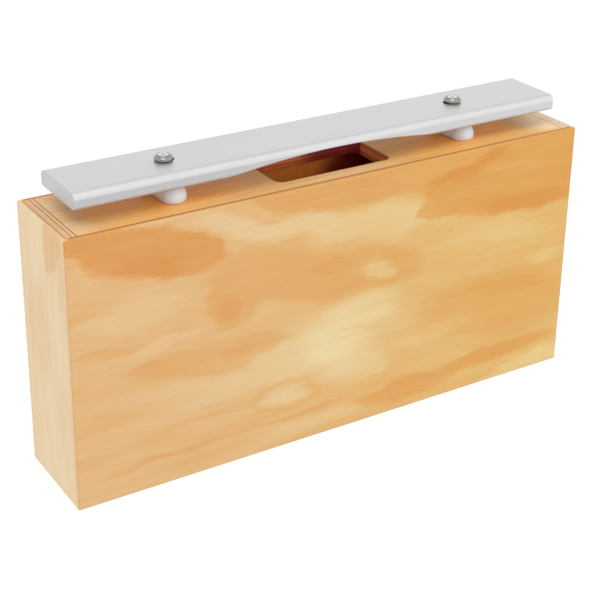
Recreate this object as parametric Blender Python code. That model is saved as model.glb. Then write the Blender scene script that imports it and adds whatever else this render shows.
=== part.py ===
"""Tuned metal bar that floats over a plywood resonator box.

Metres, +Z up. X runs along the bar, the front of the box faces -Y, and the
origin is the middle of the box's underside.
"""
import math

import bmesh
import bpy
from mathutils import Matrix, Vector

# Resonator box
BOX_LENGTH = 0.360
BOX_DEPTH = 0.067
BOX_HEIGHT = 0.171
BOX_EDGE_RADIUS = 0.0012
END_PANEL_THICKNESS = 0.009
TOP_PANEL_THICKNESS = 0.009
BOTTOM_PANEL_THICKNESS = 0.009
SKIN_THICKNESS = 0.003

# Sound slot in the top panel, a little to the right of the middle
SLOT_LENGTH = 0.082
SLOT_WIDTH = 0.040
SLOT_CORNER_RADIUS = 0.0055
SLOT_OFFSET = 0.0023

# Bar, its tuning arch and its two holes at the nodes of its vibration
BAR_LENGTH = 0.337
BAR_WIDTH = 0.045
BAR_THICKNESS = 0.010
BAR_TOP_EDGE_RADIUS = 0.004
BAR_LOWER_EDGE_RADIUS = 0.002
BAR_END_RADIUS = 0.0006
ARCH_LENGTH = 0.154
ARCH_DEPTH = 0.0058
NODE_SPACING = 0.206
HOLE_ELONGATION = 0.0031

# How the bar floats: its height over the box and its free rise
BAR_RISE = 0.0107
BAR_PLAY = 0.0004

# Rubber supports
SUPPORT_WIDTH = 0.0155
SUPPORT_INSET = 0.0037
SUPPORT_END_LENGTH = 0.0075
SUPPORT_BULGE_HEIGHT = 0.0026

# Screws
SHANK_RADIUS = 0.00175
HEAD_RADIUS = 0.0033
HEAD_DOME_RISE = 0.0006
SCREW_BITE = 0.0078
SCREW_POINT_LENGTH = 0.004
RECESS_SPAN = 0.0034
RECESS_WIDTH = 0.0007
RECESS_DEPTH = 0.0012

# Flanged sleeves
SLEEVE_WALL = 0.0008
FLANGE_LAP = 0.0016
FLANGE_THICKNESS = 0.0003

# Cup washers
WASHER_FLOOR = 0.0002
WASHER_LIP_WIDTH = 0.0006
WASHER_FLARE = 0.0013
WASHER_EDGE_HEIGHT = 0.0004

# Clearances
SEAT_GAP = 0.0003
HOLE_CLEARANCE = 0.0007
CUT_OVERRUN = 0.002

# Mesh resolution
ROUND_STEPS = 32
CORNER_STEPS = 3
BAR_EDGE_STEPS = 5
ARCH_STEPS = 24
DOME_STEPS = 5
SUPPORT_RINGS = 13
MERGE_DISTANCE = 0.000001
SMOOTH_ANGLE = math.radians(35.0)

# Levels over the underside of the box
BAR_BOTTOM = BOX_HEIGHT + BAR_RISE
BAR_TOP = BAR_BOTTOM + BAR_THICKNESS

# Radii of what goes round the screw, from the shank outwards
SCREW_HOLE_RADIUS = SHANK_RADIUS + SEAT_GAP
SLEEVE_RADIUS = SCREW_HOLE_RADIUS + SLEEVE_WALL
SUPPORT_HOLE_RADIUS = SLEEVE_RADIUS + SEAT_GAP
BAR_HOLE_RADIUS = SLEEVE_RADIUS + HOLE_CLEARANCE
FLANGE_RADIUS = BAR_HOLE_RADIUS + FLANGE_LAP

# Cup washer, whose seat is a cone at 45 degrees like the screw head's
WASHER_SEAT_RADIUS = HEAD_RADIUS + SEAT_GAP * math.sqrt(2.0)
WASHER_LIP_RADIUS = WASHER_SEAT_RADIUS + WASHER_LIP_WIDTH
WASHER_RADIUS = WASHER_LIP_RADIUS + WASHER_FLARE
WASHER_HEIGHT = WASHER_FLOOR + WASHER_SEAT_RADIUS - SCREW_HOLE_RADIUS

# Levels over the top of the box, where each node's stack stands
FLANGE_BOTTOM = BAR_RISE + BAR_THICKNESS + SEAT_GAP + BAR_PLAY
FLANGE_TOP = FLANGE_BOTTOM + FLANGE_THICKNESS
WASHER_BOTTOM = FLANGE_TOP + SEAT_GAP
WASHER_TOP = WASHER_BOTTOM + WASHER_HEIGHT


def clear_scene():
    """Remove whatever the scene holds."""
    for item in list(bpy.data.objects):
        bpy.data.objects.remove(item, do_unlink=True)


def finish(name, colour, roughness, metallic=0.0):
    """Make a plain material from a linear colour."""
    material = bpy.data.materials.new(name)
    material.use_nodes = True
    shader = material.node_tree.nodes["Principled BSDF"]
    shader.inputs["Base Color"].default_value = (*colour, 1.0)
    shader.inputs["Roughness"].default_value = roughness
    shader.inputs["Metallic"].default_value = metallic
    return material


def add_anchor(name, location):
    """Add an empty that carries a group of pieces."""
    anchor = bpy.data.objects.new(name, None)
    anchor.location = location
    bpy.context.scene.collection.objects.link(anchor)
    return anchor


def add_piece(name, shape, anchor, location, material=None):
    """Turn a bmesh into a named object on an anchor."""
    mesh = bpy.data.meshes.new(name)
    shape.to_mesh(mesh)
    shape.free()
    mesh.shade_smooth()
    mesh.set_sharp_from_angle(angle=SMOOTH_ANGLE)
    if material:
        mesh.materials.append(material)
    piece = bpy.data.objects.new(name, mesh)
    piece.parent = anchor
    piece.location = location
    bpy.context.scene.collection.objects.link(piece)
    return piece


def cut(piece, name, shape, anchor, location):
    """Take a shape out of a piece."""
    cutter = add_piece(name, shape, anchor, location)
    cutter.hide_render = True
    cutter.display_type = "WIRE"
    difference = piece.modifiers.new(name, "BOOLEAN")
    difference.operation = "DIFFERENCE"
    difference.solver = "EXACT"
    difference.object = cutter


def block_shape(size):
    """Make a box about its own middle."""
    shape = bmesh.new()
    bmesh.ops.create_cube(shape, size=1.0)
    bmesh.ops.scale(shape, vec=size, verts=shape.verts)
    return shape


def round_edges(shape, radius, steps, wanted):
    """Round the edges whose two ends pass the test."""
    edges = [edge for edge in shape.edges if wanted(edge.verts[0].co, edge.verts[1].co)]
    bmesh.ops.bevel(
        shape, geom=edges, offset=radius, offset_type="OFFSET", segments=steps,
        profile=0.5, affect="EDGES", clamp_overlap=True, material=-1,
    )


def pull_apart(shape, stretch):
    """Move the halves of a round shape apart, which leaves straight runs between them."""
    for vertex in shape.verts:
        vertex.co += Vector(math.copysign(run / 2.0, at) for run, at in zip(stretch, vertex.co))


def hole_shape(radius, height, stretch_x=0.0, stretch_y=0.0):
    """Make a round, slotted or rounded-corner prism whose flats lie on the stated radius."""
    shape = bmesh.new()
    half_step = math.pi / ROUND_STEPS
    outer = radius / math.cos(half_step)
    bmesh.ops.create_cone(
        shape, cap_ends=True, segments=ROUND_STEPS, radius1=outer, radius2=outer,
        depth=height, matrix=Matrix.Rotation(half_step, 4, "Z"),
    )
    pull_apart(shape, (stretch_x, stretch_y, 0.0))
    return shape


def turned_shape(outline, ring):
    """Turn an outline of (radius, height) points about Z. A ring's outline closes on itself."""
    shape = bmesh.new()
    points = [shape.verts.new((radius, 0.0, height)) for radius, height in outline]
    edges = [shape.edges.new(ends) for ends in zip(points, points[1:])]
    if ring:
        edges.append(shape.edges.new((points[-1], points[0])))
    bmesh.ops.spin(
        shape, geom=points + edges, cent=(0.0, 0.0, 0.0), axis=(0.0, 0.0, 1.0),
        angle=2.0 * math.pi, steps=ROUND_STEPS, use_merge=True,
    )
    bmesh.ops.remove_doubles(shape, verts=shape.verts, dist=MERGE_DISTANCE)
    bmesh.ops.recalc_face_normals(shape, faces=shape.faces)
    return shape


def add_panel(name, low, high, anchor, material, wanted=None):
    """Add a plywood panel between two corners, with the wanted edges rounded."""
    low = Vector(low)
    high = Vector(high)
    shape = block_shape(high - low)
    if wanted:
        round_edges(shape, BOX_EDGE_RADIUS, CORNER_STEPS, wanted)
    return add_piece(name, shape, anchor, (low + high) / 2.0, material)


def build_box(anchor, face_wood, end_wood):
    """Build the box: thick ends, top and floor between two thin skins."""
    half_length = BOX_LENGTH / 2.0
    half_depth = BOX_DEPTH / 2.0
    inner_x = half_length - END_PANEL_THICKNESS - SEAT_GAP
    inner_y = half_depth - SKIN_THICKNESS - SEAT_GAP
    skin_y = half_depth - SKIN_THICKNESS
    end_x = half_length - END_PANEL_THICKNESS

    for name, side in (("front_panel", -1.0), ("back_panel", 1.0)):
        add_panel(
            name,
            (-half_length, min(side * half_depth, side * skin_y), 0.0),
            (half_length, max(side * half_depth, side * skin_y), BOX_HEIGHT),
            anchor, face_wood,
            lambda a, b, side=side: side * a.y > 0.0 or side * b.y > 0.0,
        )
    for name, side in (("left_end_panel", -1.0), ("right_end_panel", 1.0)):
        add_panel(
            name,
            (min(side * half_length, side * end_x), -inner_y, 0.0),
            (max(side * half_length, side * end_x), inner_y, BOX_HEIGHT),
            anchor, end_wood,
            lambda a, b, side=side: side * a.x > 0.0 and side * b.x > 0.0 and a.y * b.y < 0.0,
        )
    add_panel(
        "bottom_panel",
        (-inner_x, -inner_y, 0.0),
        (inner_x, inner_y, BOTTOM_PANEL_THICKNESS),
        anchor, face_wood,
    )
    top_panel = add_panel(
        "top_panel",
        (-inner_x, -inner_y, BOX_HEIGHT - TOP_PANEL_THICKNESS),
        (inner_x, inner_y, BOX_HEIGHT),
        anchor, face_wood,
    )

    cut_height = TOP_PANEL_THICKNESS + 2.0 * CUT_OVERRUN
    cut_level = BOX_HEIGHT - TOP_PANEL_THICKNESS / 2.0
    slot = hole_shape(
        SLOT_CORNER_RADIUS, cut_height,
        SLOT_LENGTH - 2.0 * SLOT_CORNER_RADIUS, SLOT_WIDTH - 2.0 * SLOT_CORNER_RADIUS,
    )
    cut(top_panel, "sound_slot", slot, anchor, (SLOT_OFFSET, 0.0, cut_level))
    for name, side in (("left_pilot_hole", -1.0), ("right_pilot_hole", 1.0)):
        pilot = hole_shape(SCREW_HOLE_RADIUS, cut_height)
        cut(top_panel, name, pilot, anchor, (side * NODE_SPACING / 2.0, 0.0, cut_level))


def arch_shape():
    """Make the round-topped prism that hollows the bar's underside, about its springing line."""
    arch_radius = (ARCH_LENGTH ** 2 / 4.0 + ARCH_DEPTH ** 2) / (2.0 * ARCH_DEPTH)
    reach = ARCH_LENGTH / 2.0 + CUT_OVERRUN
    half_angle = math.asin(reach / arch_radius)
    half_width = BAR_WIDTH / 2.0 + CUT_OVERRUN
    shape = bmesh.new()
    rim = []
    for step in range(ARCH_STEPS + 1):
        angle = half_angle * (2.0 * step / ARCH_STEPS - 1.0)
        height = ARCH_DEPTH - arch_radius * (1.0 - math.cos(angle))
        rim.append(shape.verts.new((arch_radius * math.sin(angle), -half_width, height)))
    side = shape.faces.new(rim)
    swept = bmesh.ops.extrude_face_region(shape, geom=[side])
    moved = [item for item in swept["geom"] if isinstance(item, bmesh.types.BMVert)]
    bmesh.ops.translate(shape, vec=(0.0, 2.0 * half_width, 0.0), verts=moved)
    bmesh.ops.recalc_face_normals(shape, faces=shape.faces)
    return shape


def build_bar(anchor, metal):
    """Build the bar about its middle: rounded edges, an arched underside and two slotted holes."""
    half_length = BAR_LENGTH / 2.0
    shape = block_shape((BAR_LENGTH, BAR_WIDTH, BAR_THICKNESS))
    round_edges(shape, BAR_TOP_EDGE_RADIUS, BAR_EDGE_STEPS, lambda a, b: a.x * b.x < 0.0 and a.z > 0.0)
    round_edges(shape, BAR_LOWER_EDGE_RADIUS, CORNER_STEPS, lambda a, b: a.x * b.x < 0.0 and a.z < 0.0)
    near_end = half_length - BAR_END_RADIUS
    round_edges(
        shape, BAR_END_RADIUS, CORNER_STEPS,
        lambda a, b: a.x * b.x > 0.0 and min(abs(a.x), abs(b.x)) > near_end,
    )
    bar = add_piece("sound_bar", shape, anchor, (0.0, 0.0, 0.0), metal)

    cut(bar, "tuning_arch", arch_shape(), anchor, (0.0, 0.0, -BAR_THICKNESS / 2.0))
    hole_height = BAR_THICKNESS + 2.0 * CUT_OVERRUN
    for name, side in (("left_bar_hole", -1.0), ("right_bar_hole", 1.0)):
        hole = hole_shape(BAR_HOLE_RADIUS, hole_height, HOLE_ELONGATION)
        hole_x = side * (NODE_SPACING - HOLE_ELONGATION) / 2.0
        cut(bar, name, hole, anchor, (hole_x, 0.0, 0.0))


def support_shape():
    """Make a soft round-ended bolster with a flat base, standing on its own origin."""
    height = BAR_RISE - 2.0 * SEAT_GAP
    length = BAR_WIDTH - 2.0 * SUPPORT_INSET
    swell = 1.0 / math.cos(math.pi / (2.0 * SUPPORT_RINGS))
    half_size = Vector((
        SUPPORT_WIDTH / 2.0 * swell,
        SUPPORT_END_LENGTH,
        (height - SUPPORT_BULGE_HEIGHT) * swell,
    ))
    shape = bmesh.new()
    bmesh.ops.create_uvsphere(
        shape, u_segments=ROUND_STEPS, v_segments=SUPPORT_RINGS, radius=1.0,
        matrix=Matrix.Rotation(math.pi / 2.0, 4, "X"),
    )
    bmesh.ops.scale(shape, vec=half_size, verts=shape.verts)
    pull_apart(shape, (0.0, length - 2.0 * SUPPORT_END_LENGTH, 0.0))
    bmesh.ops.translate(shape, vec=(0.0, 0.0, SUPPORT_BULGE_HEIGHT), verts=shape.verts)
    everything = shape.verts[:] + shape.edges[:] + shape.faces[:]
    bmesh.ops.bisect_plane(
        shape, geom=everything, dist=MERGE_DISTANCE, plane_co=(0.0, 0.0, 0.0),
        plane_no=(0.0, 0.0, 1.0), clear_inner=True,
    )
    rim = [edge for edge in shape.edges if edge.is_boundary]
    bmesh.ops.holes_fill(shape, edges=rim, sides=0)
    bmesh.ops.recalc_face_normals(shape, faces=shape.faces)
    return shape


def sleeve_outline():
    """Outline of the flanged sleeve that stands on the box and carries the washer."""
    return [
        (SCREW_HOLE_RADIUS, SEAT_GAP),
        (SLEEVE_RADIUS, SEAT_GAP),
        (SLEEVE_RADIUS, FLANGE_BOTTOM),
        (FLANGE_RADIUS, FLANGE_BOTTOM),
        (FLANGE_RADIUS, FLANGE_TOP),
        (SCREW_HOLE_RADIUS, FLANGE_TOP),
    ]


def washer_outline():
    """Outline of the cup washer: a flared skirt, a flat lip and a cone seat."""
    return [
        (SCREW_HOLE_RADIUS, WASHER_BOTTOM),
        (WASHER_RADIUS, WASHER_BOTTOM),
        (WASHER_RADIUS, WASHER_BOTTOM + WASHER_EDGE_HEIGHT),
        (WASHER_LIP_RADIUS, WASHER_TOP),
        (WASHER_SEAT_RADIUS, WASHER_TOP),
        (SCREW_HOLE_RADIUS, WASHER_BOTTOM + WASHER_FLOOR),
    ]


def screw_outline():
    """Outline of the oval-head screw, from the top of its dome to its point."""
    dome_radius = (HEAD_RADIUS ** 2 + HEAD_DOME_RISE ** 2) / (2.0 * HEAD_DOME_RISE)
    dome_angle = math.asin(HEAD_RADIUS / dome_radius)
    dome_centre = WASHER_TOP + HEAD_DOME_RISE - dome_radius
    outline = [(0.0, WASHER_TOP + HEAD_DOME_RISE)]
    for step in range(1, DOME_STEPS + 1):
        angle = dome_angle * step / DOME_STEPS
        outline.append((dome_radius * math.sin(angle), dome_centre + dome_radius * math.cos(angle)))
    outline += [
        (SHANK_RADIUS, WASHER_TOP - (HEAD_RADIUS - SHANK_RADIUS)),
        (SHANK_RADIUS, SCREW_POINT_LENGTH - SCREW_BITE),
        (0.0, -SCREW_BITE),
    ]
    return outline


def build_node(side_name, side, finishes):
    """Build what holds the bar at one node: support, sleeve, cup washer and screw."""
    anchor = add_anchor(f"{side_name}_node", (side * NODE_SPACING / 2.0, 0.0, BOX_HEIGHT))
    origin = (0.0, 0.0, 0.0)

    support = add_piece(
        f"{side_name}_rubber_support", support_shape(), anchor, (0.0, 0.0, SEAT_GAP),
        finishes["white_rubber"],
    )
    support_hole = hole_shape(SUPPORT_HOLE_RADIUS, BAR_RISE + 2.0 * CUT_OVERRUN)
    cut(support, f"{side_name}_support_hole", support_hole, anchor, (0.0, 0.0, BAR_RISE / 2.0))

    sleeve = turned_shape(sleeve_outline(), True)
    add_piece(f"{side_name}_flanged_sleeve", sleeve, anchor, origin, finishes["grey_rubber"])
    washer = turned_shape(washer_outline(), True)
    add_piece(f"{side_name}_cup_washer", washer, anchor, origin, finishes["bright_steel"])

    screw = add_piece(
        f"{side_name}_screw", turned_shape(screw_outline(), False), anchor, origin,
        finishes["bright_steel"],
    )
    recess_height = RECESS_DEPTH + CUT_OVERRUN
    recess_level = WASHER_TOP + HEAD_DOME_RISE - RECESS_DEPTH + recess_height / 2.0
    for blade, size in (
        ("long", (RECESS_SPAN, RECESS_WIDTH, recess_height)),
        ("cross", (RECESS_WIDTH, RECESS_SPAN, recess_height)),
    ):
        cut(screw, f"{side_name}_recess_{blade}", block_shape(size), anchor, (0.0, 0.0, recess_level))


def main():
    clear_scene()
    finishes = {
        "face_wood": finish("face_wood", (0.74, 0.42, 0.16), 0.42),
        "end_wood": finish("end_wood", (0.83, 0.61, 0.36), 0.48),
        "metal": finish("satin_aluminium", (0.68, 0.69, 0.72), 0.36, 1.0),
        "white_rubber": finish("white_rubber", (0.86, 0.86, 0.84), 0.45),
        "grey_rubber": finish("grey_rubber", (0.16, 0.155, 0.15), 0.6),
        "bright_steel": finish("bright_steel", (0.60, 0.59, 0.56), 0.25, 1.0),
    }
    box = add_anchor("box", (0.0, 0.0, 0.0))
    build_box(box, finishes["face_wood"], finishes["end_wood"])
    bar_slide = add_anchor("bar_slide", (0.0, 0.0, (BAR_BOTTOM + BAR_TOP) / 2.0))
    build_bar(bar_slide, finishes["metal"])
    for side_name, side in (("left", -1.0), ("right", 1.0)):
        build_node(side_name, side, finishes)


main()
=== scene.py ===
"""Looks of a tuned bar on its resonator box: finer pieces, their finishes, a pale floor and soft light.

Metres, +Z up. X runs along the bar, the front of the box faces -Y, and the floor is at Z 0.
"""
import math
import random

import bmesh
import bpy
from mathutils import Matrix, Vector


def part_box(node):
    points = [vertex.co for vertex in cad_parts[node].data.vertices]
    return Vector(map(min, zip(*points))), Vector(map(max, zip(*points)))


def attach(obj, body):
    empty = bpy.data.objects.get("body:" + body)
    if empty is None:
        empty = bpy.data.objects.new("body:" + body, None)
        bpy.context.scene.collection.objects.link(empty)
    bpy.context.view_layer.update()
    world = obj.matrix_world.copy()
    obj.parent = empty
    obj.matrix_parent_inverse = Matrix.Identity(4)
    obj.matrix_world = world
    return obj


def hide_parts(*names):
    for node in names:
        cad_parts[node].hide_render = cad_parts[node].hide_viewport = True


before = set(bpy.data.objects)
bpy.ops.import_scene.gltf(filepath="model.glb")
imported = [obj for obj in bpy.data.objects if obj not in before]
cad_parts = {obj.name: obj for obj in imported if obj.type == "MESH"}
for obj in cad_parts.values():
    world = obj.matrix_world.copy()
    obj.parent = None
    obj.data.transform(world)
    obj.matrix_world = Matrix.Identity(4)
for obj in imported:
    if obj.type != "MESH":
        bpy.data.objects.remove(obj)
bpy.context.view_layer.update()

# Sizes that the frame's boxes don't give
PANEL_EDGE_RADIUS = 0.0012
SLOT_LENGTH = 0.082
SLOT_WIDTH = 0.040
SLOT_CORNER_RADIUS = 0.0055
SLOT_OFFSET = 0.0023
SLOT_RIM_RADIUS = 0.0005
PILOT_HOLE_RADIUS = 0.00205
BAR_TOP_EDGE_RADIUS = 0.004
BAR_LOWER_EDGE_RADIUS = 0.002
BAR_END_RADIUS = 0.0006
ARCH_LENGTH = 0.154
ARCH_DEPTH = 0.0058
BAR_HOLE_RADIUS = 0.00355
BAR_HOLE_ELONGATION = 0.0031
SUPPORT_END_LENGTH = 0.0075
SUPPORT_BULGE_HEIGHT = 0.0026
SUPPORT_HOLE_RADIUS = 0.00315
SHANK_RADIUS = 0.00175
HEAD_DOME_RISE = 0.0006
SCREW_POINT_LENGTH = 0.004
RECESS_SPAN = 0.0034
RECESS_WIDTH = 0.0007
RECESS_DEPTH = 0.0012
RECESS_TAPER = 0.5
SLEEVE_RADIUS = 0.00285
FLANGE_THICKNESS = 0.00055
WASHER_FLOOR = 0.0002
WASHER_LIP_WIDTH = 0.0006
WASHER_EDGE_HEIGHT = 0.0004
WASHER_SKIRT_DEGREES = (0.0, 75.0)
WASHER_LIP_DEGREES = (30.0, 150.0)
SEAT_GAP = 0.0003
GLUE_REACH = 0.00026
CUT_OVERRUN = 0.002

SIDES = ("left", "right")

# Colours of the wood away from its faces
CORE_PLY = (0.575, 0.28, 0.10)
PALE_PLY = (0.76, 0.52, 0.30)
CROSS_PLY = (0.72, 0.46, 0.24)
# Paler plies and fainter glue line of the right end: painted light where the top's right end lies in full
# light
PAINTED_LIGHT_PLY = (0.73, 0.60, 0.43)
PAINTED_LIGHT_CROSS_PLY = (0.69, 0.56, 0.40)
# Plies of the top, seen on the slot's walls: wood colour deepened with painted shade and warm bounced light
SHADED_RED_PLY = (0.74, 0.19, 0.06)
SHADED_RED_CROSS_PLY = (0.90, 0.30, 0.10)
GLUE_LINE = (0.22, 0.09, 0.03)
PAINTED_LIGHT_GLUE_LINE = (0.60, 0.45, 0.30)
SHADED_RED_GLUE_LINE = (0.44, 0.11, 0.04)
# Inner faces of the box: wood colour made deep and saturated as painted warm bounced light inside the box
INNER_FACE_AND_BOUNCE = (0.95, 0.33, 0.05)

# Tints that multiply the wood's colours
# Painted shade for the inside of the box
PAINTED_SHADE_TINT = (0.40, 0.15, 0.42, 1.0)
LATE_WOOD_TINT = (0.84, 0.74, 0.58, 1.0)
GOLDEN_TINT = (1.0, 1.0, 0.62, 1.0)
END_GRAIN_TINT = (0.70, 0.52, 0.36, 1.0)

# Where one finish gives way to the next: depths below a face, and heights from where the rounding begins.
# On the bar they also bound its painted shade on the sides and ends, and the painted highlight on the
# rounded top edges
VENEER_BLEND = 0.0001
SANDED_BLEND = (0.004, 0.002)
SHADED_SIDE_BLEND = (0.0010, 0.0001)
HIGHLIGHT_BAND_BLEND = (-0.0003, 0.0005)
SHADED_END_BLEND = (0.0005, 0.0001)

# Stretches along the box and the bar over which the tone changes; along the bar the change is painted
# light, brighter to the right
GOLDEN_REACH = 0.16
SHEEN_REACH = (-0.12, 0.07)


def panel_layers(ply, cross_ply, glue_line):
    """Layers of a thick panel from its outer veneer inwards: thickness and colour."""
    return [
        (0.0009, ply),
        (0.0013, ply),
        (0.0005, glue_line),
        (0.0035, cross_ply),
        (0.0005, glue_line),
        (0.0019, ply),
        (0.0003, glue_line),
        (0.0001, INNER_FACE_AND_BOUNCE),
    ]


SKIN_LAYERS = [
    (0.0009, CORE_PLY),
    (0.0013, CORE_PLY),
    (0.0007, GLUE_LINE),
    (0.0001, INNER_FACE_AND_BOUNCE),
]
LEFT_LAYERS = panel_layers(PALE_PLY, CROSS_PLY, GLUE_LINE)
RIGHT_LAYERS = panel_layers(PAINTED_LIGHT_PLY, PAINTED_LIGHT_CROSS_PLY, PAINTED_LIGHT_GLUE_LINE)
# The top's layers carry the painted shade of the slot's walls
TOP_LAYERS = panel_layers(SHADED_RED_PLY, SHADED_RED_CROSS_PLY, SHADED_RED_GLUE_LINE)

# Mesh resolution
ROUND_STEPS = 96
FINE_STEPS = 6
RIM_STEPS = 3
MERGE_DISTANCE = 0.000001
SMOOTH_ANGLE = math.radians(30.0)
RIM_ANGLE = math.radians(60.0)

# View of the photograph, in its own pixels where the names say so
IMAGE_WIDTH = 590
IMAGE_HEIGHT = 591
FOCAL_LENGTH_PIXELS = 1448.7
AXIS_PIXEL = (295.5, 220.5)
SENSOR_MILLIMETRES = 36.0
CAMERA_PLACE = (-0.4468, -0.6936, 0.4885)
CAMERA_AZIMUTH = math.radians(-31.97)
CAMERA_ELEVATION = math.radians(23.41)
CAMERA_ROLL = math.radians(0.66)
CLIP_START = 0.01

# Light: the room's greys from the horizon up, a dark corner at the front left, a broad sun overhead,
# a window in front that the metal doesn't mirror, and a softbox that stands high at the front right
ROOM_GREYS = [(0.00, 1.33), (0.20, 1.16), (0.42, 0.94), (0.75, 0.80), (1.00, 0.78)]
DARK_CORNER = Vector((-0.710, -0.596, 0.375))
DARK_CORNER_SPREAD = (math.radians(22.0), math.radians(12.0))
DARK_CORNER_GREY = (0.12, 0.12, 0.12, 1.0)
OVERHEAD_DIRECTION = (0.24, 0.35, -0.91)
OVERHEAD_STRENGTH = 1.0
OVERHEAD_SPREAD = math.radians(40.0)
WINDOW_DIRECTION = (-0.20, 0.89, -0.41)
WINDOW_STRENGTH = 0.54
WINDOW_SPREAD = math.radians(24.0)
SOFTBOX_PLACE = Vector((0.84, -0.82, 1.04))
SOFTBOX_AIM = Vector((0.0, 0.0, 0.19))
SOFTBOX_WIDTH = 1.1
SOFTBOX_HEIGHT = 0.9
SOFTBOX_POWER = 1.45
FLOOR_HALF_SIZE = 6.0
FLOOR_CELLS = 8


class Shade:
    """A shader socket that takes part in Python sums."""

    def __init__(self, socket):
        self.socket = socket

    def node(self, kind, settings, sockets, output=0):
        """Add a node beside this one: its settings first, then the values or links of its sockets."""
        tree = self.socket.id_data
        made = tree.nodes.new(kind)
        for name, setting in settings.items():
            if name == "stops":
                set_stops(made.color_ramp, setting)
            else:
                setattr(made, name, setting)
        for key, value in sockets.items():
            if isinstance(value, Shade):
                tree.links.new(value.socket, made.inputs[key])
            else:
                made.inputs[key].default_value = value
        return Shade(made.outputs[output])

    def math(self, operation, *values):
        return self.node("ShaderNodeMath", {"operation": operation}, dict(enumerate(values)))

    def __add__(self, other):
        return self.math("ADD", self, other)

    def __sub__(self, other):
        return self.math("SUBTRACT", self, other)

    def __rsub__(self, other):
        return self.math("SUBTRACT", other, self)

    def __mul__(self, other):
        return self.math("MULTIPLY", self, other)

    def __truediv__(self, other):
        return self.math("DIVIDE", self, other)

    __radd__ = __add__
    __rmul__ = __mul__

    def rise(self, start, end, low=0.0, high=1.0):
        """Go smoothly from low to high as this value goes from start to end."""
        return self.node(
            "ShaderNodeMapRange", {"interpolation_type": "SMOOTHSTEP"},
            {"Value": self, "From Min": start, "From Max": end, "To Min": low, "To Max": high},
        )

    def size(self):
        """This value without its sign."""
        return self.math("ABSOLUTE", self)

    def axes(self):
        """The three numbers of a place."""
        return [self.node("ShaderNodeSeparateXYZ", {}, {0: self}, output) for output in range(3)]

    def place(self, x, y, z):
        return self.node("ShaderNodeCombineXYZ", {}, {0: x, 1: y, 2: z})

    def moved(self, offset):
        return self.node("ShaderNodeVectorMath", {"operation": "ADD"}, {0: self, 1: offset})

    def noise(self, lump, seed, detail=2.0, roughness=0.5):
        """Cloudy noise about 0.5, whose lumps have the stated size along each axis."""
        shift = (seed, 1.7 * seed, 2.3 * seed)
        scale = [1.0 / size for size in lump]
        stretched = self.node(
            "ShaderNodeMapping", {}, {"Vector": self, "Location": shift, "Scale": scale},
        )
        return self.node(
            "ShaderNodeTexNoise", {},
            {"Vector": stretched, "Scale": 1.0, "Detail": detail, "Roughness": roughness},
        )

    def colours(self, stops, interpolation="LINEAR"):
        """Look colours up by this value."""
        return self.node("ShaderNodeValToRGB", {"stops": (interpolation, stops)}, {0: self})

    def between(self, first, second, blend_type="MIX"):
        """Mix two colours by this value."""
        settings = {"data_type": "RGBA", "blend_type": blend_type}
        return self.node("ShaderNodeMix", settings, {0: self, 6: first, 7: second}, 2)

    def bump(self, distance):
        return self.node("ShaderNodeBump", {}, {"Strength": 1.0, "Distance": distance, "Height": self})


def set_stops(ramp, setting):
    """Give a colour ramp its stops."""
    interpolation, stops = setting
    ramp.interpolation = interpolation
    while len(ramp.elements) < len(stops):
        ramp.elements.new(1.0)
    for element, (position, colour) in zip(ramp.elements, stops):
        element.position = position
        element.color = (*colour, 1.0)


def new_finish(name):
    """Start a finish. Gives the material, its shader and the place on the piece."""
    material = bpy.data.materials.new(name)
    material.use_nodes = True
    tree = material.node_tree
    shader = tree.nodes["Principled BSDF"]
    place = Shade(tree.nodes.new("ShaderNodeTexCoord").outputs["Object"])
    return material, shader, place


def feed(shader, **inputs):
    """Set or link a shader's inputs, named with underscores for spaces."""
    for name, value in inputs.items():
        socket = shader.inputs[name.replace("_", " ")]
        if isinstance(value, Shade):
            value.socket.id_data.links.new(value.socket, socket)
        else:
            socket.default_value = value
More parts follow.
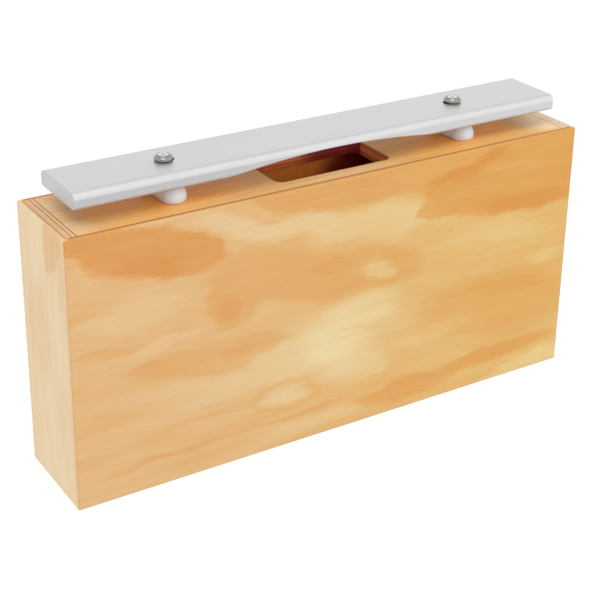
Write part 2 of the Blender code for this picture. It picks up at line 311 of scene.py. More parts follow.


# Figure of the front veneer, listed region by region. Each region of darker or paler wood has its strength,
# the softness of its edge and the ovals that make it up: middle along and up the panel, half the length,
# half the height and the lean in degrees.
FRONT_FIGURE = [
    (0.28, 0.24, [(-0.132, 0.153, 0.041, 0.018, -12), (-0.112, 0.150, 0.036, 0.014, -22),
                  (-0.168, 0.171, 0.034, 0.011, -18)]),
    (0.10, 0.80, [(-0.132, 0.143, 0.032, 0.010, -10)]),
    (0.17, 0.26, [(-0.030, 0.170, 0.048, 0.015, -12), (0.020, 0.168, 0.062, 0.018, 0),
                  (0.075, 0.170, 0.052, 0.023, 0)]),
    (0.23, 0.22, [(0.125, 0.141, 0.072, 0.021, -7), (0.150, 0.150, 0.062, 0.031, 0),
                  (0.080, 0.140, 0.032, 0.009, 8)]),
    (0.13, 0.70, [(0.140, 0.128, 0.052, 0.010, -3)]),
    (-0.08, 0.80, [(0.132, 0.153, 0.040, 0.006, -4)]),
    (0.12, 0.30, [(-0.050, 0.122, 0.048, 0.020, -8), (-0.020, 0.112, 0.054, 0.018, -12),
                  (-0.078, 0.110, 0.020, 0.021, 10), (0.024, 0.108, 0.040, 0.018, -8)]),
    (0.10, 0.60, [(-0.084, 0.105, 0.012, 0.011, 20)]),
    (0.07, 0.60, [(-0.008, 0.114, 0.022, 0.008, -10)]),
    (-0.20, 0.70, [(0.028, 0.105, 0.017, 0.009, -6)]),
    (0.11, 0.50, [(-0.118, 0.079, 0.034, 0.010, -2), (-0.088, 0.071, 0.032, 0.014, -4),
                  (-0.060, 0.076, 0.030, 0.010, 8)]),
    (0.06, 0.70, [(-0.132, 0.081, 0.018, 0.006, 0), (-0.070, 0.074, 0.014, 0.007, 10)]),
    (-0.13, 0.60, [(0.012, 0.078, 0.041, 0.016, 4), (-0.005, 0.062, 0.036, 0.021, 0),
                   (0.008, 0.044, 0.034, 0.018, 0), (0.026, 0.036, 0.015, 0.009, 0)]),
    (-0.11, 0.90, [(-0.060, 0.057, 0.100, 0.024, 1)]),
    (-0.10, 0.90, [(-0.004, 0.066, 0.078, 0.036, 0)]),
    (0.12, 0.55, [(0.120, 0.064, 0.080, 0.027, 2), (0.150, 0.050, 0.052, 0.025, 0)]),
    (0.07, 0.70, [(0.130, 0.070, 0.050, 0.010, -2)]),
    (-0.07, 0.60, [(0.072, 0.051, 0.044, 0.008, 1)]),
    (-0.07, 0.70, [(0.110, 0.108, 0.064, 0.014, -7), (0.165, 0.083, 0.020, 0.007, 3)]),
    (-0.12, 0.55, [(-0.070, 0.155, 0.042, 0.009, -20), (-0.030, 0.147, 0.050, 0.008, -6),
                   (0.035, 0.138, 0.046, 0.014, -4), (-0.005, 0.140, 0.032, 0.011, -10)]),
    (0.20, 0.45, [(0.050, 0.015, 0.050, 0.010, 2), (0.120, 0.020, 0.068, 0.007, 3)]),
    (-0.15, 0.55, [(0.150, 0.004, 0.054, 0.010, 8)]),
    (0.11, 0.80, [(-0.125, 0.017, 0.062, 0.003, 1), (-0.030, 0.020, 0.050, 0.0025, 1)]),
    (0.08, 0.80, [(-0.160, 0.098, 0.036, 0.004, 0), (-0.172, 0.120, 0.024, 0.006, 0)]),
    (0.07, 0.80, [(-0.095, 0.037, 0.044, 0.003, 0)]),
    (0.11, 0.40, [(-0.040, 0.035, 0.028, 0.011, -4)]),
    (-0.17, 0.45, [(-0.040, 0.035, 0.024, 0.009, -4)]),
    (-0.08, 0.60, [(-0.040, 0.035, 0.016, 0.005, -3)]),
    (-0.07, 0.60, [(-0.135, 0.118, 0.052, 0.014, 3), (-0.125, 0.095, 0.040, 0.004, 2)]),
    (-0.07, 0.60, [(-0.020, 0.008, 0.050, 0.008, 0)]),
]

# The same for the veneer of the left end, whose grain is upright: up the panel, then from front to back
LEFT_FIGURE = [
    (0.44, 0.35, [(0.164, -0.015, 0.030, 0.013, -14)]),
    (0.22, 0.60, [(0.142, -0.026, 0.030, 0.006, 0)]),
    (-0.22, 0.50, [(0.150, 0.007, 0.036, 0.010, -8)]),
    (0.18, 0.45, [(0.100, 0.010, 0.046, 0.016, 4)]),
    (0.16, 0.60, [(0.055, -0.017, 0.036, 0.007, -4), (0.086, 0.023, 0.050, 0.005, 0)]),
    (-0.14, 0.60, [(0.106, -0.020, 0.036, 0.010, 2), (0.050, 0.000, 0.030, 0.012, 5)]),
    (-0.14, 0.70, [(0.012, 0.002, 0.020, 0.030, 0)]),
]

# And for the top, along the bar and from front to back. Its first region, deeper orange under the bar, is
# painted shade with warm bounced light; the last two, paler at both ends, are painted light
TOP_FIGURE = [
    # Painted shade with warm bounced light under the bar
    (0.40, 0.70, [(-0.105, 0.000, 0.075, 0.030, 0), (0.105, 0.000, 0.075, 0.030, 0)]),
    (0.06, 0.60, [(-0.120, -0.026, 0.050, 0.012, 3), (0.090, -0.024, 0.060, 0.012, 3)]),
    (0.10, 0.60, [(-0.070, -0.012, 0.040, 0.010, -3)]),
    (-0.12, 0.70, [(0.010, -0.028, 0.060, 0.008, 0)]),
    # Painted light: paler at both ends, where the top lies out of the bar's shadow
    (-0.46, 0.80, [(0.164, 0.000, 0.028, 0.060, 0)]),
    (-0.24, 0.80, [(-0.168, 0.000, 0.022, 0.060, 0)]),
]

# Ovals of painted shade below the face veneers, at the back of the slot and on the wall behind it, where
# shadow falls inside the box
SLOT_WALL_SHADE = (0.050, 0.020, 0.055, 0.006, 0)
BACK_WALL_SHADE = (0.068, 0.147, 0.054, 0.022, 0)
PAINTED_SHADE_SOFTNESS = 0.35

# Honey-coloured pine: palest early wood to deepest late wood
PINE_STOPS = [
    (0.00, (0.690, 0.605, 0.440)),
    (0.25, (0.635, 0.490, 0.295)),
    (0.50, (0.592, 0.345, 0.138)),
    (0.75, (0.572, 0.262, 0.070)),
    (1.00, (0.525, 0.198, 0.038)),
]
# The top's deepest colour, reached under the bar, carries that painted shade and warm bounced light
TOP_STOPS = [
    (0.00, (0.790, 0.670, 0.500)),
    (0.30, (0.760, 0.525, 0.295)),
    (0.60, (0.735, 0.415, 0.140)),
    (1.00, (0.980, 0.425, 0.085)),
]
PALE_STOPS = [
    (0.00, (0.770, 0.615, 0.390)),
    (0.50, (0.727, 0.530, 0.302)),
    (1.00, (0.670, 0.380, 0.155)),
]


def random_figure(seed, length, height, middle, count):
    """A figure of the same kind for a panel that isn't seen in the photograph."""
    draw = random.Random(seed)
    regions = []
    for index in range(count):
        sign = 1.0 if index % 2 else -1.0
        start_along = middle[0] + length * draw.uniform(-0.5, 0.5)
        start_across = middle[1] + height * draw.uniform(-0.5, 0.5)
        ovals = []
        for _ in range(draw.randint(1, 3)):
            ovals.append((
                start_along + length * draw.uniform(-0.08, 0.08),
                start_across + height * draw.uniform(-0.06, 0.06),
                length * draw.uniform(0.08, 0.20),
                height * draw.uniform(0.04, 0.12),
                draw.uniform(-10.0, 10.0),
            ))
        regions.append((sign * draw.uniform(0.10, 0.28), draw.uniform(0.2, 0.7), ovals))
    return regions


def oval_field(sheet, oval):
    """One in the middle of an oval, falling to nothing at its outline and below nothing beyond."""
    along, across, half_length, half_height, lean = oval
    inside = sheet.node(
        "ShaderNodeMapping", {"vector_type": "TEXTURE"},
        {
            "Vector": sheet,
            "Location": (along, across, 0.0),
            "Rotation": (0.0, 0.0, math.radians(lean)),
            "Scale": (half_length, half_height, 1.0),
        },
    )
    return 1.0 - inside.node("ShaderNodeVectorMath", {"operation": "LENGTH"}, {0: inside}, 1)


def figure_tone(sheet, regions, level):
    """How dark the veneer is: regions with wandering outlines, and fine fibres over them."""
    sway = sheet.noise((0.060, 0.024, 1.0), seed=3.1, detail=4.0, roughness=0.6) - 0.5
    lift = sheet.noise((0.044, 0.018, 1.0), seed=8.4, detail=4.0, roughness=0.6) - 0.5
    feather = sheet.noise((0.024, 0.0012, 1.0), seed=5.7, detail=3.0, roughness=0.6) - 0.5
    warped = sheet.moved(sheet.place(sway * 0.036 + feather * 0.006, lift * 0.020, 0.0))
    cloud = sheet.noise((0.060, 0.010, 1.0), seed=1.3, detail=4.0) - 0.5
    tone = level + cloud * 0.20
    for strength, softness, ovals in regions:
        fields = [oval_field(warped, oval) for oval in ovals]
        region = fields[0]
        for field in fields[1:]:
            region = region.math("SMOOTH_MAX", region, field, 0.3)
        tone = tone + region.rise(0.0, softness, 0.0, strength)
    dashes = sheet.noise((0.016, 0.0010, 1.0), seed=6.6).rise(0.58, 0.76, 0.0, 0.08)
    fibres = sheet.noise((0.030, 0.0005, 1.0), seed=9.2, detail=3.0, roughness=0.6)
    return tone + dashes + (fibres - 0.5) * 0.06, fibres


def panel_thickness(layers):
    """Thickness of all the layers together."""
    return sum(thickness for thickness, _ in layers)


def layer_stops(layers):
    """Colour through the thickness, as stops from the outer face to the inner one."""
    total = panel_thickness(layers)
    stops = []
    depth = 0.0
    for thickness, colour in layers:
        stops.append((depth / total, colour))
        depth += thickness
    return stops


def plywood(
    name, through, along, outer, inward, layers, regions, level, stops,
    golden=0.0, streaks=0.25, sanded_end=None, painted_shade=None,
):
    """Lacquered plywood as a solid pattern: a figured face veneer over layers that show at the edges.

    The layers lie through one axis, inward from the outer face, and the grain runs along another. An
    optional oval of painted shade darkens the layers where shadow falls.
    """
    material, shader, place = new_finish(name)
    axes = dict(zip("xyz", place.axes()))
    across = next(letter for letter in "zyx" if letter not in (through, along))
    depth = (axes[through] - outer) * inward
    sheet = place.place(axes[along], axes[across], 0.0)
    tone, fibres = figure_tone(sheet, regions, level)
    rings = sheet.noise((0.10, 0.0022, 1.0), seed=7.3, detail=3.0, roughness=0.6)
    face = rings.rise(0.48, 0.68, 0.0, streaks).between(tone.colours(stops), LATE_WOOD_TINT, "MULTIPLY")
    if golden:
        warmth = axes[along].rise(-GOLDEN_REACH, GOLDEN_REACH, 0.0, golden)
        face = warmth.between(face, GOLDEN_TINT, "MULTIPLY")

    veneer = layers[0][0]
    grain = place.noise((0.0035, 0.0035, 0.0035), seed=4.2, detail=3.0)
    edge = (depth / panel_thickness(layers)).colours(layer_stops(layers), "CONSTANT")
    edge = (grain * 0.4).between(edge, END_GRAIN_TINT, "MULTIPLY")
    if sanded_end:
        sanded = axes[along].size().rise(*[sanded_end - distance for distance in SANDED_BLEND])
        edge = sanded.between(edge, (*PALE_PLY, 1.0))
    # Painted shade: the layers go darker inside the oval, where shadow falls inside the box
    if painted_shade:
        dark = oval_field(sheet, painted_shade).rise(0.0, PAINTED_SHADE_SOFTNESS)
        edge = dark.between(edge, PAINTED_SHADE_TINT, "MULTIPLY")
    inside = depth.rise(veneer - VENEER_BLEND, veneer)
    feed(
        shader,
        Base_Color=inside.between(face, edge),
        Roughness=0.40 + fibres * 0.12 + inside * 0.15,
        Normal=fibres.bump(0.00003),
        Specular_IOR_Level=0.35,
    )
    return material


def drawn_aluminium():
    """Satin aluminium: faint lines drawn along the bar, with painted shade on the flat sides and the ends.

    The rounded top edges keep the top's paler colour as a painted highlight, and painted light brightens
    the sides towards the right.
    """
    material, shader, place = new_finish("satin_aluminium")
    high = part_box("sound_bar")[1]
    along, across, up = place.axes()
    lines = place.noise((0.16, 0.00035, 0.00035), seed=2.6, detail=3.0, roughness=0.6)
    cloud = place.noise((0.05, 0.02, 0.02), seed=6.1)
    outwards = across.size()
    rounded = outwards.rise(high.y - BAR_TOP_EDGE_RADIUS, high.y - BAR_TOP_EDGE_RADIUS / 2.0)
    springing = high.z - BAR_TOP_EDGE_RADIUS
    # Painted highlight: the darker side colour stops below the rounding, so the rounded top edges keep the
    # top's paler colour
    below_highlight_band = up.rise(*[springing + distance for distance in HIGHLIGHT_BAND_BLEND], 1.0, 0.0)
    # Painted shade on the flat sides
    side = outwards.rise(*[high.y - distance for distance in SHADED_SIDE_BLEND]) * below_highlight_band
    # Painted shade on the ends
    shaded_end_mask = along.size().rise(*[high.x - distance for distance in SHADED_END_BLEND])
    streaks = lines * 0.6 + cloud * 0.4
    top = streaks.between((0.645, 0.648, 0.645, 1.0), (0.715, 0.718, 0.715, 1.0))
    # Painted light: the sides brighten towards the right, over the drawn lines
    lines_and_sheen = streaks * 0.4 + along.rise(*SHEEN_REACH, 0.0, 0.6)
    side_shade_and_sheen = lines_and_sheen.between((0.525, 0.53, 0.55, 1.0), (0.67, 0.677, 0.705, 1.0))
    end_shade = streaks.between((0.51, 0.511, 0.515, 1.0), (0.57, 0.571, 0.575, 1.0))
    feed(
        shader,
        Base_Color=shaded_end_mask.between(side.between(top, side_shade_and_sheen), end_shade),
        Metallic=1.0,
        Roughness=0.36 + lines * 0.08 + rounded * 0.18,
        Normal=lines.bump(0.000006),
    )
    return material


def plated_steel(name, dark, light, roughness):
    """Plated steel, a little warm."""
    material, shader, place = new_finish(name)
    wear = place.noise((0.0012, 0.0012, 0.0012), seed=7.7, detail=3.0)
    feed(
        shader,
        Base_Color=wear.between((*dark, 1.0), (*light, 1.0)),
        Metallic=1.0,
        Roughness=roughness + wear * 0.14,
        Normal=wear.bump(0.00001),
    )
    return material


def moulded_rubber(name, dark, light, roughness, soft):
    """Moulded rubber with a fine matt skin."""
    material, shader, place = new_finish(name)
    skin = place.noise((0.0004, 0.0004, 0.0004), seed=1.9)
    cloud = place.noise((0.006, 0.006, 0.006), seed=3.3)
    feed(
        shader,
        Base_Color=(skin * 0.3 + cloud * 0.7).between((*dark, 1.0), (*light, 1.0)),
        Roughness=roughness + skin * 0.12,
        Normal=skin.bump(0.00001),
        Subsurface_Weight=soft,
        Subsurface_Scale=0.003,
    )
    return material


def light_table():
    """Plain pale floor that glows a little, as the white table of a photo studio does."""
    material, shader, place = new_finish("pale_floor")
    mottle = place.noise((0.4, 0.4, 0.4), seed=2.2)
    feed(
        shader,
        Base_Color=mottle.between((0.29, 0.29, 0.29, 1.0), (0.31, 0.31, 0.31, 1.0)),
        Roughness=0.9,
        Specular_IOR_Level=0.0,
        Emission_Color=(1.0, 1.0, 1.0, 1.0),
        Emission_Strength=0.72,
    )
    return material


def add_piece(name, shape, body, node, finish):
    """Turn a bmesh into a piece that stands for a node of the frame."""
    mesh = bpy.data.meshes.new(name)
    shape.to_mesh(mesh)
    shape.free()
    mesh.materials.append(finish)
    mesh.shade_smooth()
    mesh.set_sharp_from_angle(angle=SMOOTH_ANGLE)
    piece = bpy.data.objects.new(name, mesh)
    bpy.context.scene.collection.objects.link(piece)
    flat = piece.modifiers.new("flat_faces_stay_flat", "WEIGHTED_NORMAL")
    flat.keep_sharp = True
    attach(piece, body)
    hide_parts(node)


def block_shape(low, high):
    """Make a box between two corners."""
    shape = bmesh.new()
    placed = Matrix.Translation((low + high) / 2.0) @ Matrix.Diagonal((*(high - low), 1.0))
    bmesh.ops.create_cube(shape, size=1.0, matrix=placed)
    return shape


def round_edges(shape, edges, radius, steps):
    """Round edges of a shape, in a number of steps."""
    bmesh.ops.bevel(
        shape, geom=edges, offset=radius, offset_type="OFFSET", segments=steps,
        profile=0.5, affect="EDGES", clamp_overlap=True, material=-1,
    )


def pull_apart(shape, stretch):
    """Move the halves of a round shape apart, which leaves straight runs between them."""
    for vertex in shape.verts:
        vertex.co += Vector(math.copysign(run / 2.0, at) for run, at in zip(stretch, vertex.co))


def hole_shape(middle, radius, height, stretch_x=0.0, stretch_y=0.0):
    """Make a round, slotted or rounded-corner prism."""
    shape = bmesh.new()
    half_step = math.pi / ROUND_STEPS
    bmesh.ops.create_cone(
        shape, cap_ends=True, segments=ROUND_STEPS, radius1=radius, radius2=radius,
        depth=height, matrix=Matrix.Rotation(half_step, 4, "Z"),
    )
    pull_apart(shape, (stretch_x, stretch_y, 0.0))
    bmesh.ops.translate(shape, vec=middle, verts=shape.verts)
    return shape


def turned_shape(outline, axis_x, axis_y, ring):
    """Turn an outline of (radius, height) points about an upright axis.

    A ring's outline closes on itself.
    """
    shape = bmesh.new()
    points = [shape.verts.new((axis_x + radius, axis_y, height)) for radius, height in outline]
    edges = [shape.edges.new(ends) for ends in zip(points, points[1:])]
    if ring:
        edges.append(shape.edges.new((points[-1], points[0])))
    bmesh.ops.spin(
        shape, geom=points + edges, cent=(axis_x, axis_y, 0.0), axis=(0.0, 0.0, 1.0),
        angle=2.0 * math.pi, steps=ROUND_STEPS, use_merge=True,
    )
    bmesh.ops.remove_doubles(shape, verts=shape.verts, dist=MERGE_DISTANCE)
    bmesh.ops.recalc_face_normals(shape, faces=shape.faces)
    return shape


def arc(middle, radius, start, end, steps=FINE_STEPS):
    """Points of an arc in an outline, between two angles in degrees."""
    points = []
    for step in range(steps + 1):
        angle = math.radians(start + (end - start) * step / steps)
        points.append((middle[0] + radius * math.cos(angle), middle[1] + radius * math.sin(angle)))
    return points


def scratch_object(shape):
    """Put a bmesh into the scene for a moment."""
    mesh = bpy.data.meshes.new("scratch")
    shape.to_mesh(mesh)
    shape.free()
    item = bpy.data.objects.new("scratch", mesh)
    bpy.context.scene.collection.objects.link(item)
    return item


def carve(shape, cutters):
    """Take cutters out of a shape."""
    blank = scratch_object(shape)
    tools = [scratch_object(cutter) for cutter in cutters]
    for tool in tools:
        difference = blank.modifiers.new("cut", "BOOLEAN")
        difference.operation = "DIFFERENCE"
        difference.solver = "EXACT"
        difference.object = tool
    carved = bmesh.new()
    carved.from_object(blank, bpy.context.evaluated_depsgraph_get())
    bmesh.ops.remove_doubles(carved, verts=carved.verts, dist=MERGE_DISTANCE)
    for item in (blank, *tools):
        bpy.data.meshes.remove(item.data)
    return carved


def node_axis(side_name):
    """Where the screw of one side stands."""
    low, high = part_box(f"{side_name}_screw")
    return (low + high) / 2.0


def build_skin(name, node, outward, finish):
    """A thin plywood skin, rounded round its outer face and all but closed against the panels behind it."""
    low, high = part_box(node)
    if outward < 0.0:
        high.y += GLUE_REACH
    else:
        low.y -= GLUE_REACH
    shape = block_shape(low, high)
    middle = (low.y + high.y) / 2.0
    edges = [
        edge for edge in shape.edges
        if any((vertex.co.y - middle) * outward > 0.0 for vertex in edge.verts)
    ]
    round_edges(shape, edges, PANEL_EDGE_RADIUS, FINE_STEPS)
    add_piece(name, shape, "box", node, finish)


def build_end(name, node, outward, finish):
    """A thick plywood end, rounded along the top and bottom of its outer face."""
    low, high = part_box(node)
    shape = block_shape(low, high)
    middle = (low + high) / 2.0
    edges = [
        edge for edge in shape.edges
        if all((vertex.co.x - middle.x) * outward > 0.0 for vertex in edge.verts)
        and abs(edge.verts[0].co.z - edge.verts[1].co.z) < MERGE_DISTANCE
    ]
    round_edges(shape, edges, PANEL_EDGE_RADIUS, FINE_STEPS)
    add_piece(name, shape, "box", node, finish)


def build_top(finish):
    """The plywood top with its routed slot and the two pilot holes."""
    low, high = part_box("top_panel")
    middle = (low + high) / 2.0
    height = high.z - low.z + 2.0 * CUT_OVERRUN
    slot_middle = middle + Vector((SLOT_OFFSET, 0.0, 0.0))
    cutters = [hole_shape(
        slot_middle, SLOT_CORNER_RADIUS, height,
        SLOT_LENGTH - 2.0 * SLOT_CORNER_RADIUS, SLOT_WIDTH - 2.0 * SLOT_CORNER_RADIUS,
    )]
    for side_name in SIDES:
        axis = node_axis(side_name)
        cutters.append(hole_shape((axis.x, axis.y, middle.z), PILOT_HOLE_RADIUS, height))
    shape = carve(block_shape(low, high), cutters)
    reach = Vector((SLOT_LENGTH, SLOT_WIDTH)) / 2.0 + Vector((MERGE_DISTANCE, MERGE_DISTANCE))
    rim = [
        edge for edge in shape.edges
        if len(edge.link_faces) == 2 and edge.calc_face_angle() > RIM_ANGLE
        and all(
            abs(vertex.co.x - slot_middle.x) <= reach.x and abs(vertex.co.y) <= reach.y
            and abs(vertex.co.z - high.z) < MERGE_DISTANCE
            for vertex in edge.verts
        )
    ]
    round_edges(shape, rim, SLOT_RIM_RADIUS, RIM_STEPS)
    add_piece("slotted_top", shape, "box", "top_panel", finish)


def build_bottom(finish):
    """The plywood floor of the box, its lower edges just broken."""
    low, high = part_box("bottom_panel")
    shape = block_shape(low, high)
    edges = [edge for edge in shape.edges if all(vertex.co.z < high.z for vertex in edge.verts)]
    round_edges(shape, edges, SLOT_RIM_RADIUS, RIM_STEPS)
    add_piece("box_floor", shape, "box", "bottom_panel", finish)


def arch_shape(springing):
    """The round-topped prism that hollows the bar's underside."""
    radius = (ARCH_LENGTH ** 2 / 4.0 + ARCH_DEPTH ** 2) / (2.0 * ARCH_DEPTH)
    low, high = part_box("sound_bar")
    half_width = (high.y - low.y) / 2.0 + CUT_OVERRUN
    half_angle = math.degrees(math.asin((ARCH_LENGTH / 2.0 + CUT_OVERRUN) / radius))
    middle = (0.0, springing + ARCH_DEPTH - radius)
    rim = arc(middle, radius, 90.0 + half_angle, 90.0 - half_angle, ROUND_STEPS)
    shape = bmesh.new()
    side = shape.faces.new([shape.verts.new((x, -half_width, z)) for x, z in rim])
    swept = bmesh.ops.extrude_face_region(shape, geom=[side])
    moved = [item for item in swept["geom"] if isinstance(item, bmesh.types.BMVert)]
    bmesh.ops.translate(shape, vec=(0.0, 2.0 * half_width, 0.0), verts=moved)
    bmesh.ops.recalc_face_normals(shape, faces=shape.faces)
    return shape


def build_bar(finish):
    """The bar: rounded long edges, an arched underside and two short slotted holes."""
    low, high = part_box("sound_bar")
    middle = (low + high) / 2.0
    shape = block_shape(low, high)
    for radius, upper in ((BAR_TOP_EDGE_RADIUS, True), (BAR_LOWER_EDGE_RADIUS, False)):
        long_edges = [
            edge for edge in shape.edges
            if edge.verts[0].co.x * edge.verts[1].co.x < 0.0
            and (edge.verts[0].co.z > middle.z) == upper
        ]
        round_edges(shape, long_edges, radius, 2 * FINE_STEPS)
    near_end = high.x - BAR_END_RADIUS
    end_edges = [
        edge for edge in shape.edges
        if edge.verts[0].co.x * edge.verts[1].co.x > 0.0
        and all(abs(vertex.co.x) > near_end for vertex in edge.verts)
    ]
    round_edges(shape, end_edges, BAR_END_RADIUS, FINE_STEPS)
    cutters = [arch_shape(low.z)]
    for side_name in SIDES:
        axis = node_axis(side_name)
        inwards = math.copysign(BAR_HOLE_ELONGATION / 2.0, -axis.x)
        height = high.z - low.z + 2.0 * CUT_OVERRUN
        cutters.append(hole_shape(
            (axis.x + inwards, axis.y, middle.z), BAR_HOLE_RADIUS, height, BAR_HOLE_ELONGATION,
        ))
    add_piece("tuned_bar", carve(shape, cutters), "bar", "sound_bar", finish)


def build_support(side_name, finish):
    """A soft round-ended bolster with a flat base and a hole for the sleeve."""
    node = f"{side_name}_rubber_support"
    low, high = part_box(node)
    middle = (low + high) / 2.0
    size = high - low
    shape = bmesh.new()
    bmesh.ops.create_uvsphere(
        shape, u_segments=ROUND_STEPS, v_segments=ROUND_STEPS // 2 + 1, radius=1.0,
        matrix=Matrix.Rotation(math.pi / 2.0, 4, "X"),
    )
    swollen = (size.x / 2.0, SUPPORT_END_LENGTH, size.z - SUPPORT_BULGE_HEIGHT)
    bmesh.ops.scale(shape, vec=swollen, verts=shape.verts)
    pull_apart(shape, (0.0, size.y - 2.0 * SUPPORT_END_LENGTH, 0.0))
    bmesh.ops.translate(shape, vec=(middle.x, middle.y, low.z + SUPPORT_BULGE_HEIGHT), verts=shape.verts)
    everything = shape.verts[:] + shape.edges[:] + shape.faces[:]
    bmesh.ops.bisect_plane(
        shape, geom=everything, dist=MERGE_DISTANCE,
        plane_co=low, plane_no=(0.0, 0.0, 1.0), clear_inner=True,
    )
    bmesh.ops.holes_fill(shape, edges=[edge for edge in shape.edges if edge.is_boundary], sides=0)
    bmesh.ops.recalc_face_normals(shape, faces=shape.faces)
    hole = hole_shape(middle, SUPPORT_HOLE_RADIUS, size.z + 2.0 * CUT_OVERRUN)
    add_piece(f"{side_name}_bolster", carve(shape, [hole]), "box", node, finish)


def build_sleeve(side_name, finish):
    """The flanged rubber sleeve round the screw."""
    node = f"{side_name}_flanged_sleeve"
    low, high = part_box(node)
    axis = node_axis(side_name)
    bore = SHANK_RADIUS + SEAT_GAP
    flange = (high.x - low.x) / 2.0
    half = FLANGE_THICKNESS / 2.0
    outline = [
        (bore, low.z),
        (SLEEVE_RADIUS, low.z),
        (SLEEVE_RADIUS, high.z - FLANGE_THICKNESS),
        *arc((flange - half, high.z - half), half, -90.0, 90.0, 2 * FINE_STEPS),
        (bore, high.z),
    ]
    shape = turned_shape(outline, axis.x, axis.y, True)
    add_piece(f"{side_name}_sleeve", shape, "box", node, finish)


def build_washer(side_name, finish):
    """The cup washer: a flared skirt, a rolled lip and a cone seat for the screw head."""
    node = f"{side_name}_cup_washer"
    low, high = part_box(node)
    axis = node_axis(side_name)
    bore = SHANK_RADIUS + SEAT_GAP
    rim = (high.x - low.x) / 2.0
    screw_low, screw_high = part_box(f"{side_name}_screw")
    seat = (screw_high.x - screw_low.x) / 2.0 + SEAT_GAP * math.sqrt(2.0)
    lip = WASHER_LIP_WIDTH / 2.0
    edge = WASHER_EDGE_HEIGHT / 2.0
    foot = low.z - SEAT_GAP
    swell = Vector((rim - seat - lip, high.z - lip - foot - WASHER_EDGE_HEIGHT))
    skirt = [
        (seat + lip + swell.x * out, foot + WASHER_EDGE_HEIGHT + swell.y * up)
        for out, up in arc((0.0, 0.0), 1.0, *WASHER_SKIRT_DEGREES, 2 * FINE_STEPS)
    ]
    outline = [
        (bore, foot),
        *arc((rim - edge, foot + edge), edge, -90.0, 0.0),
        *skirt,
        *arc((seat + lip, high.z - lip), lip, *WASHER_LIP_DEGREES, 2 * FINE_STEPS),
        (bore, low.z + WASHER_FLOOR),
    ]
    shape = turned_shape(outline, axis.x, axis.y, True)
    add_piece(f"{side_name}_finishing_washer", shape, "box", node, finish)


def cross_shape(mouth):
    """The four-armed plug that sinks a cross recess into a screw head."""
    reach = RECESS_SPAN / 2.0
    half = RECESS_WIDTH / 2.0
    corners = []
    for arm in range(4):
        turn = Matrix.Rotation(arm * math.pi / 2.0, 2)
        corners += [turn @ Vector(corner) for corner in ((reach, -half), (reach, half), (half, half))]
    shape = bmesh.new()
    rim = shape.faces.new([shape.verts.new((*corner, CUT_OVERRUN)) for corner in corners])
    sunk = bmesh.ops.extrude_face_region(shape, geom=[rim])
    floor = [item for item in sunk["geom"] if isinstance(item, bmesh.types.BMVert)]
    bmesh.ops.translate(shape, vec=(0.0, 0.0, -CUT_OVERRUN - RECESS_DEPTH), verts=floor)
    bmesh.ops.scale(shape, vec=(RECESS_TAPER, RECESS_TAPER, 1.0), verts=floor)
    bmesh.ops.translate(shape, vec=mouth, verts=shape.verts)
    bmesh.ops.recalc_face_normals(shape, faces=shape.faces)
    return shape


def build_screw(side_name, finish):
    """The oval-head screw with its cross recess."""
    node = f"{side_name}_screw"
    low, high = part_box(node)
    axis = node_axis(side_name)
    head = (high.x - low.x) / 2.0
    dome = (head ** 2 + HEAD_DOME_RISE ** 2) / (2.0 * HEAD_DOME_RISE)
    spread = math.degrees(math.asin(head / dome))
    brim = high.z - HEAD_DOME_RISE
    outline = [
        *arc((0.0, high.z - dome), dome, 90.0, 90.0 - spread, 2 * FINE_STEPS),
        (SHANK_RADIUS, brim - (head - SHANK_RADIUS)),
        (SHANK_RADIUS, low.z + SCREW_POINT_LENGTH),
        (0.0, low.z),
    ]
    # The dome begins exactly on the axis
    outline[0] = (0.0, high.z)
    shape = turned_shape(outline, axis.x, axis.y, False)
    recess = cross_shape((axis.x, axis.y, high.z))
    add_piece(f"{side_name}_oval_screw", carve(shape, [recess]), "box", node, finish)


def build_floor():
    """A pale floor that runs past every edge of the view."""
    shape = bmesh.new()
    bmesh.ops.create_grid(shape, x_segments=FLOOR_CELLS, y_segments=FLOOR_CELLS, size=FLOOR_HALF_SIZE)
    mesh = bpy.data.meshes.new("floor")
    shape.to_mesh(mesh)
    shape.free()
    mesh.materials.append(light_table())
    floor = bpy.data.objects.new("floor", mesh)
    bpy.context.scene.collection.objects.link(floor)


def add_light(name, kind, towards, energy, **settings):
    """Add a light that shines in a direction."""
    light = bpy.data.lights.new(name, kind)
    light.energy = energy
    for setting, value in settings.items():
        setattr(light, setting, value)
    lamp = bpy.data.objects.new(name, light)
    lamp.rotation_euler = Vector(towards).to_track_quat("-Z", "Y").to_euler()
    bpy.context.scene.collection.objects.link(lamp)
    return lamp


def light_scene():
    """A white room, brighter low down, with one dark corner, an overhead sun, a window and a softbox."""
    world = bpy.data.worlds.new("white_room")
    world.use_nodes = True
    tree = world.node_tree
    direction = Shade(tree.nodes.new("ShaderNodeTexCoord").outputs["Generated"])
    room_stops = [(height, (grey, grey, grey)) for height, grey in ROOM_GREYS]
    walls = direction.axes()[2].colours(room_stops)
    facing = direction.node(
        "ShaderNodeVectorMath", {"operation": "DOT_PRODUCT"}, {0: direction, 1: DARK_CORNER}, 1,
    )
    corner = facing.rise(*[math.cos(angle) for angle in DARK_CORNER_SPREAD])
    feed(tree.nodes["Background"], Color=corner.between(walls, DARK_CORNER_GREY), Strength=1.0)
    bpy.context.scene.world = world
    add_light("overhead", "SUN", OVERHEAD_DIRECTION, OVERHEAD_STRENGTH, angle=OVERHEAD_SPREAD)
    window = add_light("window", "SUN", WINDOW_DIRECTION, WINDOW_STRENGTH, angle=WINDOW_SPREAD)
    window.visible_glossy = False
    softbox = add_light(
        "softbox", "AREA", SOFTBOX_AIM - SOFTBOX_PLACE, SOFTBOX_POWER,
        shape="RECTANGLE", size=SOFTBOX_WIDTH, size_y=SOFTBOX_HEIGHT,
    )
    softbox.location = SOFTBOX_PLACE
    bpy.context.scene.view_settings.view_transform = "Standard"


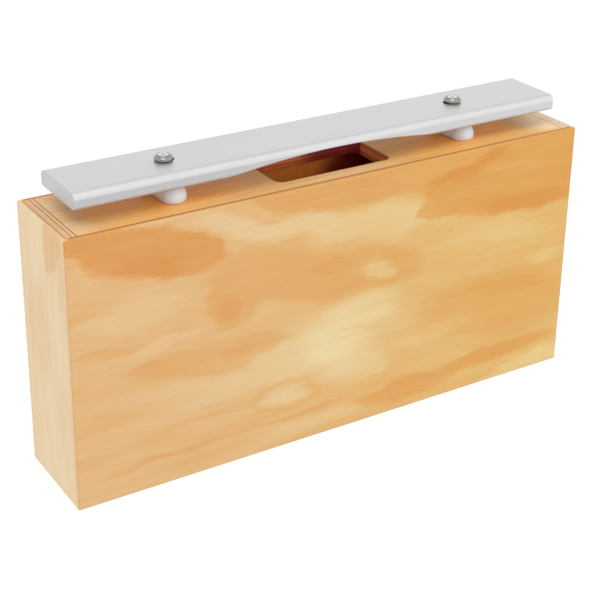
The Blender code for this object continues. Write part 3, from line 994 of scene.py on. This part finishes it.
def place_camera():
    """Stand where the photographer stood."""
    data = bpy.data.cameras.new("camera")
    longest = max(IMAGE_WIDTH, IMAGE_HEIGHT)
    data.sensor_width = SENSOR_MILLIMETRES
    data.lens = FOCAL_LENGTH_PIXELS * SENSOR_MILLIMETRES / longest
    data.shift_x = (IMAGE_WIDTH / 2.0 - AXIS_PIXEL[0]) / longest
    data.shift_y = (AXIS_PIXEL[1] - IMAGE_HEIGHT / 2.0) / longest
    data.clip_start = CLIP_START
    camera = bpy.data.objects.new("camera", data)
    turn = Matrix.Rotation(CAMERA_AZIMUTH, 4, "Z")
    tilt = Matrix.Rotation(math.pi / 2.0 - CAMERA_ELEVATION, 4, "X")
    roll = Matrix.Rotation(CAMERA_ROLL, 4, "Z")
    camera.matrix_world = Matrix.Translation(CAMERA_PLACE) @ turn @ tilt @ roll
    bpy.context.scene.collection.objects.link(camera)
    bpy.context.scene.camera = camera


def build_box():
    """The six plywood panels."""
    front_low, front_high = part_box("front_panel")
    back_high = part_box("back_panel")[1]
    length = front_high.x - front_low.x
    height = front_high.z
    depth = back_high.y - front_low.y

    skin = {
        "through": "y", "along": "x", "layers": SKIN_LAYERS, "level": 0.47, "stops": PINE_STOPS,
        "golden": 0.75, "streaks": 0.15, "sanded_end": front_high.x,
    }
    front = plywood("front_veneer", outer=front_low.y, inward=1.0, regions=FRONT_FIGURE, **skin)
    build_skin("front_skin", "front_panel", -1.0, front)
    back_figure = random_figure(11, length, height, middle=(0.0, height / 2.0), count=30)
    back = plywood(
        "back_veneer", outer=back_high.y, inward=-1.0, regions=back_figure,
        painted_shade=BACK_WALL_SHADE, **skin,
    )
    build_skin("back_skin", "back_panel", 1.0, back)

    right_figure = random_figure(34, height, depth, middle=(height / 2.0, 0.0), count=12)
    ends = (
        ("left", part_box("left_end_panel")[0].x, 1.0, LEFT_LAYERS, LEFT_FIGURE),
        ("right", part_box("right_end_panel")[1].x, -1.0, RIGHT_LAYERS, right_figure),
    )
    for side_name, outer, inward, layers, figure in ends:
        veneer = plywood(
            f"{side_name}_end_veneer", through="x", along="z", outer=outer, inward=inward,
            layers=layers, regions=figure, level=0.36, stops=PALE_STOPS,
        )
        build_end(f"{side_name}_end", f"{side_name}_end_panel", -inward, veneer)

    flat = {"through": "z", "along": "x", "layers": TOP_LAYERS}
    build_top(plywood(
        "top_veneer", outer=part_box("top_panel")[1].z, inward=-1.0, regions=TOP_FIGURE, level=0.60,
        stops=TOP_STOPS, golden=0.3, streaks=0.90, painted_shade=SLOT_WALL_SHADE, **flat,
    ))
    floor_figure = random_figure(56, length, depth, middle=(0.0, 0.0), count=14)
    build_bottom(plywood(
        "floor_veneer", outer=0.0, inward=1.0, regions=floor_figure, level=0.46, stops=PINE_STOPS, **flat,
    ))


def build_object():
    """Every piece of the instrument."""
    build_box()
    build_bar(drawn_aluminium())
    # The washers' steel is much darker than the screws': painted shade for the dim reflections on their
    # skirts
    shaded_washer_steel = plated_steel("washer_steel_with_painted_shade", dark=(0.30, 0.29, 0.26), light=(0.39, 0.38, 0.35), roughness=0.25)
    zinc = plated_steel("zinc_plate", dark=(0.68, 0.67, 0.64), light=(0.80, 0.79, 0.77), roughness=0.20)
    white = moulded_rubber(
        "white_rubber", dark=(0.60, 0.64, 0.69), light=(0.68, 0.72, 0.77), roughness=0.34, soft=0.10,
    )
    grey = moulded_rubber(
        "grey_rubber", dark=(0.32, 0.315, 0.31), light=(0.40, 0.395, 0.39), roughness=0.55, soft=0.0,
    )
    for side_name in SIDES:
        build_support(side_name, white)
        build_sleeve(side_name, grey)
        build_washer(side_name, shaded_washer_steel)
        build_screw(side_name, zinc)


build_object()
build_floor()
light_scene()
place_camera()
